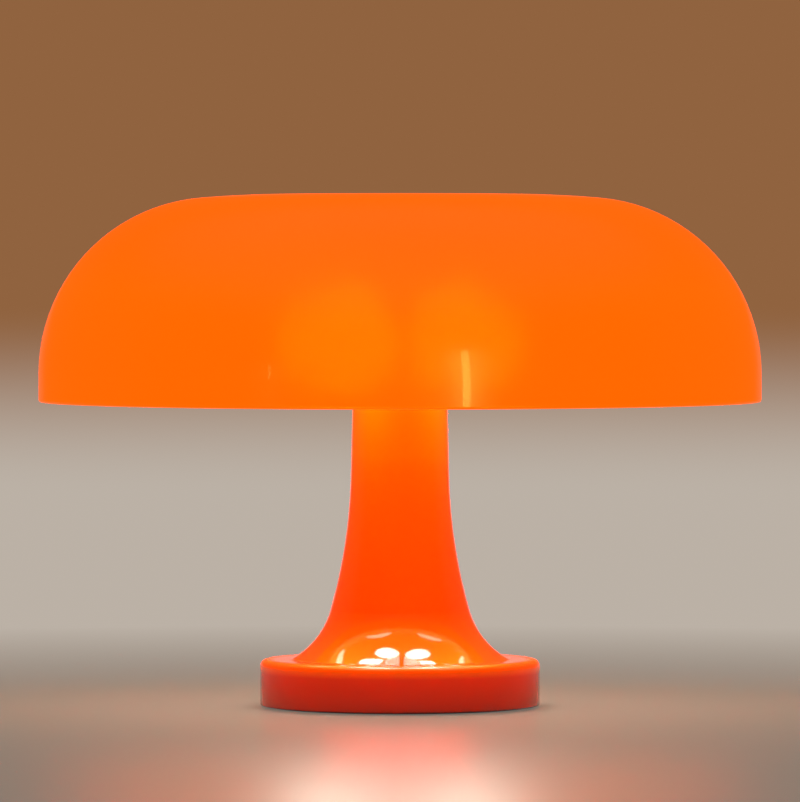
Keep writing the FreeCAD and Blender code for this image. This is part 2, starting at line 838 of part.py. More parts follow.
def make_tie_tube():
    body = new_body("tie_tube", Place(yaw=d.bulb_azimuth))
    section = new_sketch(body, "XY_Plane", at_level(tube_bottom))
    draw_circle(section, 0, 0, d.tube_radius)
    draw_circle(section, 0, 0, d.tube_bore_radius)
    pad(body, section, tube_top - tube_bottom)
    slot = new_sketch(body, "YZ_Plane")
    half_width = d.tube_slot_width / 2
    slot_top = slot_middle + d.tube_slot_length / 2
    slot_bottom = slot_middle - d.tube_slot_length / 2
    draw(slot, [
        (half_width, slot_top),
        (0, slot_top + half_width, half_width, LEFT),
        (-half_width, slot_top, half_width, LEFT),
        (-half_width, slot_bottom),
        (0, slot_bottom - half_width, half_width, LEFT),
        (half_width, slot_bottom, half_width, LEFT),
    ])
    cut = pocket(body, slot, d.tube_radius + d.overrun, reverse=True)
    around(body, [cut], HOLDERS)


def part_object(kind, **sizes):
    feature = doc.addObject(kind, "Solid")
    for name, size in sizes.items():
        feature.setExpression(name, size.text)
    return feature


def cut_of(base, tool):
    feature = doc.addObject("Part::Cut", "Holed")
    feature.Base = base
    feature.Tool = tool
    return feature


def group_of(label, members):
    feature = doc.addObject("Part::Compound", label)
    feature.Label = label
    feature.Links = members
    nodes.append(feature)


def tube_hole(height):
    return part_object("Part::Cylinder", Radius=tube_hole_radius, Height=height)


def make_tube_nuts():
    members = []
    for level in (foot_nut_level, stem_nut_level, lower_nut_level, upper_nut_level):
        corner_radius = d.nut_flats / 2 / cosine(as_size(HALF_TURN / HEX_SIDES))
        blank = part_object("Part::Prism", Circumradius=corner_radius, Height=d.nut_height)
        nut = cut_of(blank, tube_hole(d.nut_height))
        nut.setExpression("Placement", Place(z=level, yaw=between_holders.turns[0]).text())
        members.append(nut)
    group_of("tube_nuts", members)


def make_tube_washers():
    members = []
    for level in (foot_washer_level, cap_top, lower_washer_level, bracket_top):
        blank = part_object("Part::Cylinder", Radius=d.washer_radius, Height=d.washer_thickness)
        washer = cut_of(blank, tube_hole(d.washer_thickness))
        washer.setExpression("Placement", at_level(level).text())
        members.append(washer)
    group_of("tube_washers", members)


def make_stem_top_cap():
    body = new_body("stem_top_cap")
    spigot_radius = stem_inner_radius - d.fit - d.fit
    spigot_inner = spigot_radius - d.cap_spigot_wall
    spigot_end = d.stem_top_level - d.cap_spigot_depth
    turned(body, [
        (tube_hole_radius, cap_top),
        (tube_hole_radius, d.stem_top_level),
        (spigot_inner, d.stem_top_level),
        (spigot_inner, spigot_end),
        (spigot_radius, spigot_end),
        (spigot_radius, d.stem_top_level),
        (d.stem_top_radius, d.stem_top_level),
        (d.stem_top_radius, cap_top - d.cap_edge_round),
        (d.stem_top_radius - d.cap_edge_round, cap_top, d.cap_edge_round, LEFT),
    ])


# The bracket: a flat middle with four tabs that lean like the bulbs

def make_holder_bracket():
    body = new_body("holder_bracket", Place(yaw=d.bulb_azimuth))
    half = bracket_half_width
    side = holder_radius
    middle = new_sketch(body, "XY_Plane", at_level(bracket_level))
    draw(middle, [
        (half, -side), (half, side), (side, half), (-side, half),
        (-half, side), (-half, -side), (-side, -half), (side, -half),
    ])
    draw_circle(middle, 0, 0, tube_hole_radius)
    pad(body, middle, d.bracket_thickness)
    tab_place = Place(holder_back_reach, 0, holder_back_level, 0, -d.bulb_tilt)
    tab = new_sketch(body, "XY_Plane", tab_place)
    draw(tab, [
        (-bend_offset, -side),
        (0, -side),
        (side, 0, side, LEFT),
        (0, side, side, LEFT),
        (-bend_offset, side),
    ])
    for hand in (LEFT, RIGHT):
        draw_circle(tab, 0, hand * holder_screw_offset, d.holder_screw_radius + d.fit)
    tabs = pad(body, tab, d.bracket_thickness)
    around(body, [tabs], HOLDERS)


# The seat: a hub over the upper nut, with four keys that fit the notches in the shade's boss

def make_shade_seat():
    body = new_body("shade_seat", between_holders)
    turned(body, [
        (0, tube_top + d.seat_head_room),
        (tube_hole_radius, tube_top + d.seat_head_room),
        (tube_hole_radius, bracket_top),
        (d.seat_radius, bracket_top),
        (d.seat_radius, seat_top),
        (0, seat_top),
    ])
    washer_recess = new_sketch(body, "XY_Plane", at_level(bracket_top))
    draw_circle(washer_recess, 0, 0, d.washer_radius + d.fit)
    pocket(body, washer_recess, d.washer_thickness, reverse=True)
    nut_recess = new_sketch(body, "XY_Plane", at_level(upper_nut_level))
    corner_radius = (d.nut_flats / 2 + d.fit) / cosine(as_size(HALF_TURN / HEX_SIDES))
    corners = []
    for index in range(HEX_SIDES):
        angle = as_size(index * FULL_TURN / HEX_SIDES)
        corners.append((corner_radius * cosine(angle), corner_radius * sine(angle)))
    draw(nut_recess, corners)
    pocket(body, nut_recess, d.nut_height, reverse=True)
    key = new_sketch(body, "XY_Plane", at_level(seat_top))
    half_width = d.seat_key_width / 2
    key_end = d.seat_radius + d.seat_key_length
    draw_box(key, d.seat_radius - d.seat_key_width, -half_width, key_end, half_width)
    keys = pad(body, key, d.seat_key_depth, reverse=True)
    around(body, [keys], HOLDERS)


# One lampholder: moulded body, brass screw shell and sprung tongue

def make_holder_body(index):
    body = new_body(f"holder_body_{index + 1}", holder_place(index))
    bore = shell_outer_radius + d.fit
    turned(body, [
        (0, -holder_back),
        (holder_radius - d.holder_round, -holder_back),
        (holder_radius, d.holder_round - holder_back, d.holder_round, LEFT),
        (holder_radius, d.holder_step),
        (holder_front_radius, d.holder_step + holder_radius - holder_front_radius),
        (holder_front_radius, holder_mouth),
        (mouth_radius, holder_mouth),
        (mouth_radius, holder_mouth_step),
        (bore, holder_mouth_step),
        (bore, d.shell_start),
        (cavity_radius, d.shell_start),
        (cavity_radius, -d.cavity_depth),
        (0, -d.cavity_depth),
    ])
    screws = new_sketch(body, "XY_Plane", at_level(-holder_back))
    for hand in (LEFT, RIGHT):
        draw_circle(screws, 0, hand * holder_screw_offset, d.holder_screw_radius + d.fit)
    pocket(body, screws, d.holder_screw_length, reverse=True)
    slot = new_sketch(body, "YZ_Plane")
    half_width = d.lead_slot_width / 2
    half_height = d.lead_slot_height / 2
    draw_box(slot, -half_width, -d.lead_level - half_height, half_width, half_height - d.lead_level)
    pocket(body, slot, holder_radius + d.overrun, reverse=True)


def make_screw_shell(index):
    body = new_body(f"screw_shell_{index + 1}", holder_place(index))
    shell_end = d.shell_start + d.thread_length
    turned(body, [
        (shell_inner_radius, d.shell_start),
        (shell_outer_radius, d.shell_start),
        (shell_outer_radius, shell_end),
        (shell_inner_radius, shell_end),
    ])


def make_centre_contact(index):
    body = new_body(f"centre_contact_{index + 1}", holder_place(index))
    head = -d.contact_gap
    foot = -d.cavity_depth
    foot_reach = cavity_radius - d.contact_foot_gap
    side_view = new_sketch(body, "XZ_Plane")
    draw(side_view, [
        (-foot_reach, foot),
        (-d.contact_foot_inner, foot),
        (-d.contact_head_inner, head - d.contact_metal),
        (d.contact_head_reach, head - d.contact_metal),
        (d.contact_head_reach, head),
        (-d.contact_head_inner - d.contact_metal / 2, head),
        (-d.contact_foot_inner - d.contact_metal / 2, foot + d.contact_metal),
        (-foot_reach, foot + d.contact_metal),
    ])
    pad(body, side_view, d.contact_width, symmetric=True)


# One bulb: glass globe, metal cap, black insulator and contact tip

def make_bulb_glass(index):
    body = new_body(f"bulb_glass_{index + 1}", holder_place(index))
    inner_globe = d.globe_radius - d.glass_thickness
    inner_neck = d.neck_radius - d.glass_thickness
    inner_round = d.neck_round + d.glass_thickness

    def on_globe(radius):
        return radius * globe_across / globe_span, globe_distance - radius * globe_rise / globe_span

    turned(body, [
        (inner_neck, neck_start),
        (d.neck_radius, neck_start),
        (d.neck_radius, neck_end),
        (*on_globe(d.globe_radius), d.neck_round, RIGHT),
        (0, bulb_length, d.globe_radius, LEFT),
        (0, bulb_length - d.glass_thickness),
        (*on_globe(inner_globe), inner_globe, RIGHT),
        (inner_neck, neck_end, inner_round, LEFT),
    ])


def make_bulb_cap(index):
    body = new_body(f"bulb_cap_{index + 1}", holder_place(index))
    thread_inner = d.thread_radius - d.cap_metal
    turned(body, [
        (d.cap_mouth_radius, cap_mouth_level),
        (d.thread_radius, thread_start),
        (d.thread_radius, thread_end),
        (skirt_outer_radius, skirt_start),
        (skirt_outer_radius, skirt_end),
        (skirt_inner_radius, skirt_end),
        (skirt_inner_radius, skirt_start + d.cap_metal / 2),
        (thread_inner, thread_end + d.cap_metal / 2),
        (thread_inner, thread_start + d.cap_metal / 2),
        (d.cap_mouth_radius - d.cap_metal, cap_mouth_level + d.cap_metal / 2),
    ])


def make_bulb_insulator(index):
    body = new_body(f"bulb_insulator_{index + 1}", holder_place(index))
    edge_level = cap_mouth_level + d.cap_metal / 2
    insulator_radius = d.cap_mouth_radius - d.cap_metal - d.insulator_gap
    insulator_top = d.tip_height + d.insulator_height
    turned(body, [
        (0, d.tip_height),
        (d.insulator_face_radius, d.tip_height),
        (insulator_radius, edge_level),
        (insulator_radius, insulator_top),
        (0, insulator_top),
    ])


def make_bulb_tip(index):
    body = new_body(f"bulb_tip_{index + 1}", holder_place(index))
    dome_radius = (d.tip_radius * d.tip_radius + d.tip_dome * d.tip_dome) / d.tip_dome / 2
    turned(body, [
        (0, 0),
        (d.tip_radius, d.tip_dome, dome_radius, LEFT),
        (d.tip_radius, d.tip_height),
        (0, d.tip_height),
    ])


# Shapes that lean in four directions or follow a bent path

def add_shape(label, shape):
    feature = doc.addObject("Part::Feature", label)
    feature.Label = label
    feature.Shape = shape
    nodes.append(feature)


def make_holder_screws():
    tab_back = -holder_back.value - d.bracket_thickness.value
    axis = FreeCAD.Vector(0, 0, 1)
    screws = []
    for index in range(HOLDERS):
        for hand in (LEFT, RIGHT):
            centre = FreeCAD.Vector(0, hand * holder_screw_offset.value, tab_back)
            shank = Part.makeCylinder(
                d.holder_screw_radius.value, d.holder_screw_length.value, centre, axis
            )
            head = Part.makeCylinder(
                d.holder_screw_head_radius.value, d.holder_screw_head_height.value, centre, -axis
            )
            screw = shank.fuse(head).removeSplitter()
            screw.Placement = holder_place(index).placement()
            screws.append(screw)
    add_shape("holder_screws", Part.makeCompound(screws))


def bent_wire(corners, bends, radius):
    """A round wire through corners, each inner corner rounded by its bend radius."""
    edges = []
    start = corners[0]
    for index, bend in enumerate(bends, 1):
        corner = corners[index]
        arriving = (corner - corners[index - 1]).normalize()
        leaving = (corners[index + 1] - corner).normalize()
        turn = arriving.getAngle(leaving)
        trim = bend * math.tan(turn / 2)
        inward = (leaving - arriving).normalize()
        arc_start = corner - arriving * trim
        arc_end = corner + leaving * trim
        arc_middle = corner + inward * (bend / math.cos(turn / 2) - bend)
        edges.append(Part.LineSegment(start, arc_start).toShape())
        edges.append(Part.Arc(arc_start, arc_middle, arc_end).toShape())
        start = arc_end
    edges.append(Part.LineSegment(start, corners[-1]).toShape())
    path = Part.Wire(edges)
    section = Part.Wire(Part.Circle(corners[0], corners[1] - corners[0], radius).toShape())
    wire = path.makePipeShell([section], True, False)
    expected = math.pi * radius ** 2 * path.Length
    print(f"lead: length {path.Length:.1f}, volume {wire.Volume:.1f} of {expected:.1f}")
    return wire


def lead(index, hand):
    """One lead: out of the lampholder, through the tube's slot, down the tube and back to the block."""
    azimuth = azimuth_of(index)
    sideways = hand * d.lead_spacing / 2
    level = tip_level + d.lead_level * drop

    def point(reach, height):
        x = reach * cosine(azimuth) - sideways * sine(azimuth)
        y = reach * sine(azimuth) + sideways * cosine(azimuth)
        return FreeCAD.Vector(x.value, y.value, height.value)

    def beside_holder(distance):
        return point(tip_reach - d.lead_level * lean - distance * drop, level - distance * lean)

    inside_tube = point(d.lead_circle_radius, slot_middle - d.tube_slot_length / 2)
    foot_bend = lead_foot_bend.value - inside_tube.y
    foot_turn = FreeCAD.Vector(inside_tube.x, inside_tube.y, lead_turn_level.value - foot_bend)
    corners = [
        beside_holder(d.lead_end_reach),
        beside_holder(d.lead_turn_reach),
        inside_tube,
        foot_turn,
        FreeCAD.Vector(foot_turn.x, clamp_start.value, foot_turn.z),
    ]
    bends = [d.lead_upper_bend.value, d.lead_lower_bend.value, foot_bend]
    return bent_wire(corners, bends, d.lead_radius.value)


def make_leads():
    for label, hand in (("live_leads", LEFT), ("neutral_leads", RIGHT)):
        add_shape(label, Part.makeCompound([lead(index, hand) for index in range(HOLDERS)]))


# The whole lamp

make_shade()
make_foot_and_stem()
make_ballast_plate()
make_bottom_cover()
make_cover_screws()
make_foot_pad()
make_cord_inlet_bush()
make_terminal_block()
make_terminal_clamps()
make_terminal_screws()
make_block_screw()
make_tie_tube()
make_tube_nuts()
make_tube_washers()
make_stem_top_cap()
make_holder_bracket()
make_shade_seat()
make_holder_screws()
make_leads()
for number in range(HOLDERS):
    make_holder_body(number)
    make_screw_shell(number)
    make_centre_contact(number)
    make_bulb_glass(number)
    make_bulb_cap(number)
    make_bulb_insulator(number)
    make_bulb_tip(number)

doc.recompute()

faults = [f"{item.Name} {item.State}" for item in doc.Objects if {"Invalid", "Error"} & set(item.State)]
for node in nodes:
    if node.Shape.isNull() or not node.Shape.isValid() or not node.Shape.Solids:
        faults.append(f"{node.Label} has no valid solid")
if faults:
    raise RuntimeError("; ".join(faults))

os.makedirs("parts", exist_ok=True)
for node in nodes:
    node.Shape.exportStep(f"parts/{node.Label}.step")
    print(f"{node.Label}: {len(node.Shape.Solids)} solids, {node.Shape.Volume:.0f} mm3")
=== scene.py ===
import json
import math

import bmesh
import bpy
from mathutils import Euler, Matrix, Vector


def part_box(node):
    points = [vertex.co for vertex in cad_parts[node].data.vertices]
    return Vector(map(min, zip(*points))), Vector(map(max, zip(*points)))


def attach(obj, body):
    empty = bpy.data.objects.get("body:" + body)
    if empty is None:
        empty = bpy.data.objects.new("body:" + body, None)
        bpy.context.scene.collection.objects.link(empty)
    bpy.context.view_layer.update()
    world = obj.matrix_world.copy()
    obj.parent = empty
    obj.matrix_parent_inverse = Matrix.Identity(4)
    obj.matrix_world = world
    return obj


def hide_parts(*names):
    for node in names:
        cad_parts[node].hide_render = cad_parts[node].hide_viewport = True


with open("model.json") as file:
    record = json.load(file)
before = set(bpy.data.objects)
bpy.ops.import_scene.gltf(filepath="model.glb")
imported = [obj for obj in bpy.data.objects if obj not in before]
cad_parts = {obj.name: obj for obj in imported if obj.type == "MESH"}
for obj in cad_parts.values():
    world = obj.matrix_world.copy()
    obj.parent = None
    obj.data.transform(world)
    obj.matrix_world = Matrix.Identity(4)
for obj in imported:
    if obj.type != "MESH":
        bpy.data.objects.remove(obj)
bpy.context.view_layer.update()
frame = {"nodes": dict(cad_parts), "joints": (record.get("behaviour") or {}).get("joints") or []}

# Shapes are built in millimetres and placed in metres
MM = 0.001
FULL_TURN = 2 * math.pi
SHARP_EDGE = math.radians(32)

NODES = frame["nodes"]
JOINTS = {joint["name"]: joint for joint in frame["joints"]}
BULBS = (1, 2, 3, 4)
GLOBE_DISTANCE = 51.53

# Levels of the shade and the foot in metres
SHADE_MIDDLE = (0, 0, 0.1)
SHOULDER_LEVEL = 0.185
CROWN_LEVEL = 0.225
RIM_LEVEL = 0.132
FOOT_TOP = 0.019


def bulb_place(number):
    """The frame of a bulb and its lampholder: at the contact tip, +Z out of the socket, +X to the tube."""
    joint = JOINTS[f"bulb_{number}_turn"]
    tip = Vector(joint["pos_m"])
    out = Vector(joint["axis"]).normalized()
    across = out.cross(Vector((-tip.x, -tip.y, 0))).normalized()
    place = Matrix((across.cross(out), across, out)).transposed().to_4x4()
    place.translation = tip
    return place


BULB_PLACES = [bulb_place(number) for number in BULBS]
FIRST_AZIMUTH = math.atan2(BULB_PLACES[0].translation.y, BULB_PLACES[0].translation.x)


def at(x=0.0, y=0.0, z=0.0, turn=0.0):
    """A place in millimetres, turned round Z."""
    return Matrix.Translation(Vector((x, y, z)) * MM) @ Matrix.Rotation(turn, 4, "Z")


def around(count, place=Matrix(), start=0.0):
    return [Matrix.Rotation(start + FULL_TURN * step / count, 4, "Z") @ place for step in range(count)]


# Node materials

OUTER_GLOW = (1.0, 0.125, 0.0005)
INNER_GLOW = (1.0, 0.36, 0.02)
PLASTIC_IOR = 1.49


class Tree:
    """The nodes of a material or a world. An input is a number, a colour or another node's output."""

    def __init__(self, owner):
        self.owner = owner
        owner.use_nodes = True
        self.tree = owner.node_tree

    def add(self, kind, inputs=None, **settings):
        made = self.tree.nodes.new(kind)
        for name, value in settings.items():
            setattr(made, name, value)
        for name, value in (inputs or {}).items():
            self.feed(made, name, value)
        return made

    def feed(self, made, name, value):
        socket = made.inputs[name]
        if isinstance(value, bpy.types.NodeSocket):
            self.tree.links.new(value, socket)
        elif socket.type == "RGBA" and len(value) == 3:
            socket.default_value = (*value, 1)
        else:
            socket.default_value = value

    def finish(self, **inputs):
        """Sets the inputs of the material's own shader."""
        shader = self.tree.nodes["Principled BSDF"]
        for name, value in inputs.items():
            self.feed(shader, name.replace("_", " "), value)
        return self.owner

    def math(self, operation, first, second=0.0):
        return self.add("ShaderNodeMath", {0: first, 1: second}, operation=operation).outputs[0]

    def vector(self, operation, first, second=(0, 0, 0), output=0):
        made = self.add("ShaderNodeVectorMath", {0: first, 1: second}, operation=operation)
        return made.outputs[output]

    def place(self):
        return self.add("ShaderNodeTexCoord").outputs["Object"]

    def height(self):
        return self.add("ShaderNodeSeparateXYZ", {0: self.place()}).outputs["Z"]

    def noise(self, scale, detail=3.0, roughness=0.5):
        inputs = {"Vector": self.place(), "Scale": scale, "Detail": detail, "Roughness": roughness}
        return self.add("ShaderNodeTexNoise", inputs).outputs["Fac"]

    def spread(self, value, low, high, start=0.3, end=0.7):
        """Maps start..end of a value to low..high."""
        return self.add("ShaderNodeMapRange", {0: value, 1: start, 2: end, 3: low, 4: high}).outputs[0]

    def step(self, value, start, end):
        """Rises from 0 to 1 between two values."""
        return self.spread(value, 0.0, 1.0, start, end)

    def blend(self, amount, first, second):
        """From one colour to another."""
        return self.add("ShaderNodeMix", {0: amount, 6: first, 7: second}, data_type="RGBA").outputs[2]

    def choose(self, amount, first, second):
        """From one number to another."""
        return self.add("ShaderNodeMix", {0: amount, 2: first, 3: second}, data_type="FLOAT").outputs[0]

    def tones(self, value, dark, light):
        """Two tones of a colour, spread by the middle part of a noise."""
        return self.blend(self.spread(value, 0.0, 1.0), dark, light)

    def bump(self, height, strength, distance):
        inputs = {"Height": height, "Strength": strength, "Distance": distance}
        return self.add("ShaderNodeBump", inputs).outputs["Normal"]


def new_material(name):
    return Tree(bpy.data.materials.new(name))


def bulb_nearness(t, distance):
    """Grows by one for each bulb that is this far away, and fast nearer to it."""
    nearness = 0.0
    for bulb in BULB_PLACES:
        middle = bulb @ Vector((0, 0, GLOBE_DISTANCE * MM))
        away = t.vector("DISTANCE", t.place(), middle, "Value")
        share = t.math("DIVIDE", distance, away)
        nearness = t.math("ADD", nearness, t.math("MULTIPLY", share, share))
    return nearness


def shade_plastic():
    """Translucent plastic that glows with the bulbs behind it, brighter and yellower on its inner side."""
    t = new_material("shade_plastic")
    nearness = bulb_nearness(t, 0.1)
    crown = t.spread(t.height(), 1.0, 0.84, SHOULDER_LEVEL, CROWN_LEVEL)
    outer = t.math("MULTIPLY", t.spread(nearness, 1.00, 1.16, 1.2, 3.0), crown)
    inner = t.spread(nearness, 0.85, 1.45, 1.2, 4.0)
    from_middle = t.vector("SUBTRACT", t.place(), SHADE_MIDDLE)
    normal = t.add("ShaderNodeNewGeometry").outputs["True Normal"]
    inside = t.math("LESS_THAN", t.vector("DOT_PRODUCT", from_middle, normal, "Value"), 0.0)
    return t.finish(
        Base_Color=t.tones(t.noise(9, 2), (0.78, 0.055, 0.0), (0.84, 0.065, 0.0)),
        Roughness=t.spread(t.noise(60), 0.20, 0.24),
        IOR=PLASTIC_IOR,
        Specular_IOR_Level=0.0,
        Coat_Weight=0.06,
        Coat_Roughness=0.025,
        Transmission_Weight=0.2,
        Emission_Color=t.blend(inside, OUTER_GLOW, INNER_GLOW),
        Emission_Strength=t.choose(inside, outer, inner),
    )


def stem_plastic():
    """Glossy plastic, with painted shade: redder from just under the shade's rim up towards the bulbs, and
    darker low on the foot.

    The rounded edge of the foot is rubbed duller, and a painted highlight makes it glow a little.
    """
    t = new_material("stem_plastic")
    radius = t.vector("LENGTH", t.vector("MULTIPLY", t.place(), (1, 1, 0)), output="Value")
    # The rounded edge of the foot: rougher there as rubbed wear, and it carries the painted highlight
    edge = t.math("MULTIPLY", t.step(t.height(), 0.0150, 0.0175), t.step(radius, 0.055, 0.059))
    cloud = t.tones(t.noise(12, 2), (0.90, 0.062, 0.0), (0.94, 0.069, 0.0))
    # Painted shade: redder and darker from just under the shade's rim up
    colour = t.blend(t.step(t.height(), 0.112, RIM_LEVEL), cloud, (0.86, 0.038, 0.0))
    return t.finish(
        # Painted shade: the foot's wall darkens towards the table
        Base_Color=t.blend(t.step(t.height(), 0.0, FOOT_TOP), (0.46, 0.028, 0.0), colour),
        Roughness=t.math("ADD", t.spread(t.noise(70), 0.05, 0.09), t.math("MULTIPLY", edge, 0.17)),
        IOR=PLASTIC_IOR,
        Specular_IOR_Level=0.5,
        # A painted highlight: the rounded edge of the foot glows a little
        Emission_Color=(1.0, 0.20, 0.0),
        Emission_Strength=t.math("MULTIPLY", edge, 0.18),
    )


def lit_glass():
    """Opal glass that lights what is round it, but is seen without glare."""
    t = new_material("bulb_glass")
    haze = t.noise(40)
    looked_at = t.add("ShaderNodeLightPath").outputs["Is Camera Ray"]
    return t.finish(
        Base_Color=t.tones(haze, (0.86, 0.82, 0.74), (0.92, 0.89, 0.82)),
        Roughness=t.spread(haze, 0.10, 0.16),
        IOR=1.5,
        Coat_Weight=0.5,
        Emission_Color=(1.0, 0.88, 0.72),
        Emission_Strength=t.choose(looked_at, 30.0, t.spread(haze, 0.80, 0.95)),
    )


def speckled(name, dark, light, scale, rough, metallic=0.0, bump=0.2, height=0.2):
    """Fine spots of two tones, with a roughness and a bump that follow them. The height is in millimetres."""
    t = new_material(name)
    spots = t.noise(scale, 4, 0.6)
    return t.finish(
        Base_Color=t.tones(spots, dark, light),
        Roughness=t.spread(t.noise(scale / 2), *rough),
        Metallic=metallic,
        Normal=t.bump(spots, bump, height * MM),
    )


def sand_cast(name, dark, light):
    """Cast iron under a thin coat of paint: coarse lumps with fine grain on them."""
    t = new_material(name)
    lumps = t.noise(160, 5, 0.65)
    grain = t.noise(900, 3)
    relief = t.math("ADD", lumps, t.math("MULTIPLY", grain, 0.35))
    return t.finish(
        Base_Color=t.tones(lumps, dark, light),
        Roughness=t.spread(grain, 0.45, 0.72),
        Normal=t.bump(relief, 0.5, 0.5 * MM),
    )


def felt(name, dark, light):
    """Pressed felt: short crossed fibres in two tones, with no gloss."""
    t = new_material(name)
    fibres = 0.0
    for stretch in ((2600, 300, 900), (300, 2600, 900)):
        stretched = t.add("ShaderNodeMapping", {"Vector": t.place(), "Scale": stretch}).outputs[0]
        inputs = {"Vector": stretched, "Scale": 1.0, "Detail": 4.0, "Roughness": 0.6}
        fibres = t.math("MAXIMUM", fibres, t.add("ShaderNodeTexNoise", inputs).outputs["Fac"])
    return t.finish(
        Base_Color=t.blend(t.step(fibres, 0.4, 0.8), dark, light),
        Roughness=t.spread(fibres, 0.9, 1.0),
        Specular_IOR_Level=0.2,
        Sheen_Weight=0.4,
        Normal=t.bump(fibres, 0.7, 0.35 * MM),
    )


BLACK_PLASTIC = ((0.035, 0.035, 0.036), (0.05, 0.05, 0.052))
BLACK_RUBBER = ((0.012, 0.012, 0.012), (0.022, 0.022, 0.022))
BLACK_FELT = ((0.03, 0.03, 0.033), (0.11, 0.11, 0.115))
BLACK_GLASS = ((0.012, 0.012, 0.016), (0.03, 0.03, 0.035))
IRON_PAINT = ((0.03, 0.03, 0.032), (0.065, 0.065, 0.068))
ZINC = ((0.50, 0.50, 0.48), (0.66, 0.66, 0.62))
NICKEL = ((0.60, 0.60, 0.58), (0.72, 0.72, 0.69))
SOLDER = ((0.45, 0.45, 0.44), (0.60, 0.60, 0.58))
BRASS = ((0.70, 0.47, 0.17), (0.80, 0.58, 0.24))
BRIGHT_BRASS = ((0.74, 0.50, 0.18), (0.84, 0.62, 0.26))
WHITE_ENAMEL = ((0.72, 0.72, 0.70), (0.80, 0.80, 0.78))
WHITE_MOULDING = ((0.74, 0.74, 0.72), (0.80, 0.80, 0.78))
IVORY_MOULDING = ((0.76, 0.75, 0.71), (0.82, 0.81, 0.77))
GREY_MOULDING = ((0.70, 0.70, 0.66), (0.76, 0.76, 0.72))
BROWN_INSULATION = ((0.14, 0.05, 0.016), (0.20, 0.075, 0.024))
BLUE_INSULATION = ((0.012, 0.10, 0.48), (0.022, 0.13, 0.56))

MATERIALS = {
    "shade_plastic": shade_plastic(),
    "stem_plastic": stem_plastic(),
    "bulb_glass": lit_glass(),
    "ballast_iron": sand_cast("ballast_iron", *IRON_PAINT),
    "pad_felt": felt("pad_felt", *BLACK_FELT),
}

# The other slots: two tones, the scale of the spots, the least and most roughness, and how metallic
SPECKLED = {
    "cover_plastic": (*BLACK_PLASTIC, 900, (0.5, 0.65)),
    "zinc_steel": (*ZINC, 300, (0.25, 0.40), 1.0),
    "bush_rubber": (*BLACK_RUBBER, 700, (0.55, 0.70)),
    "block_plastic": (*GREY_MOULDING, 400, (0.35, 0.50)),
    "terminal_brass": (*BRASS, 400, (0.25, 0.40), 1.0),
    "bracket_steel": (*WHITE_ENAMEL, 800, (0.35, 0.50)),
    "seat_plastic": (*WHITE_MOULDING, 500, (0.30, 0.45)),
    "live_insulation": (*BROWN_INSULATION, 300, (0.3, 0.45)),
    "neutral_insulation": (*BLUE_INSULATION, 300, (0.3, 0.45)),
    "holder_plastic": (*IVORY_MOULDING, 350, (0.25, 0.40)),
    "contact_brass": (*BRIGHT_BRASS, 250, (0.18, 0.32), 1.0),
    "bulb_cap_metal": (*NICKEL, 260, (0.20, 0.35), 1.0),
    "bulb_insulator": (*BLACK_GLASS, 300, (0.08, 0.2)),
    "bulb_solder": (*SOLDER, 900, (0.30, 0.50), 1.0),
}
for slot, look in SPECKLED.items():
    MATERIALS[slot] = speckled(slot, *look)


def paint(material, *names):
    for name in names:
        mesh = NODES[name].data
        mesh.materials.clear()
        mesh.materials.append(MATERIALS[material])


def numbered(*names):
    return [f"{name}_{number}" for name in names for number in BULBS]


paint("shade_plastic", "shade")
paint("stem_plastic", "foot_and_stem", "stem_top_cap")
paint("ballast_iron", "ballast_plate")
paint("cover_plastic", "bottom_cover")
paint("pad_felt", "foot_pad")
paint("bush_rubber", "cord_inlet_bush")
paint("block_plastic", "terminal_block")
paint("terminal_brass", "terminal_clamps")
paint("bracket_steel", "holder_bracket")
paint("seat_plastic", "shade_seat")
paint("live_insulation", "live_leads")
paint("neutral_insulation", "neutral_leads")
paint("holder_plastic", *numbered("holder_body"))
paint("contact_brass", *numbered("screw_shell", "centre_contact"))
paint("bulb_glass", *numbered("bulb_glass"))
paint("bulb_cap_metal", *numbered("bulb_cap"))
paint("bulb_insulator", *numbered("bulb_insulator"))
paint("bulb_solder", *numbered("bulb_tip"))
paint("zinc_steel", "cover_screws", "terminal_screws", "block_screw", "tie_tube", "tube_nuts")
paint("zinc_steel", "tube_washers", "holder_screws")


# Shapes

def turned(outline, segments, pitch=1.0):
    """Turns a closed outline round Z. A point is (radius, level), or (radius, level, depth) on a thread."""
    build = bmesh.new()
    rows = []
    for radius, level, *depths in outline:
        depth = depths[0] if depths else 0.0
        row = []
        for step in range(segments if radius else 1):
            angle = FULL_TURN * step / segments
            valley = 0.5 - 0.5 * math.cos(FULL_TURN * level / pitch - angle)
            reach = radius - depth * valley
            row.append(build.verts.new((reach * math.cos(angle), reach * math.sin(angle), level)))
        rows.append(row)
    for index, row in enumerate(rows):
        before = rows[index - 1]
        for step in range(segments):
            following = step + 1
            corners = dict.fromkeys([
                before[step % len(before)],
                before[following % len(before)],
                row[following % len(row)],
                row[step % len(row)],
            ])
            if len(corners) > 2:
                build.faces.new(corners)
    return build


def thread(start, end, crest, depth, pitch, rows, runs_out_inwards):
    """The threaded part of an outline, row by row. Over its first and last turn the thread runs out."""
    count = round(abs(end - start) / pitch * rows)
    points = []
    for step in range(count + 1):
        level = start + (end - start) * step / count
        full = min(1.0, abs(level - start) / pitch, abs(level - end) / pitch)
        radius = crest - depth * (1.0 - full) if runs_out_inwards else crest
        points.append((radius, level, depth * full))
    return points


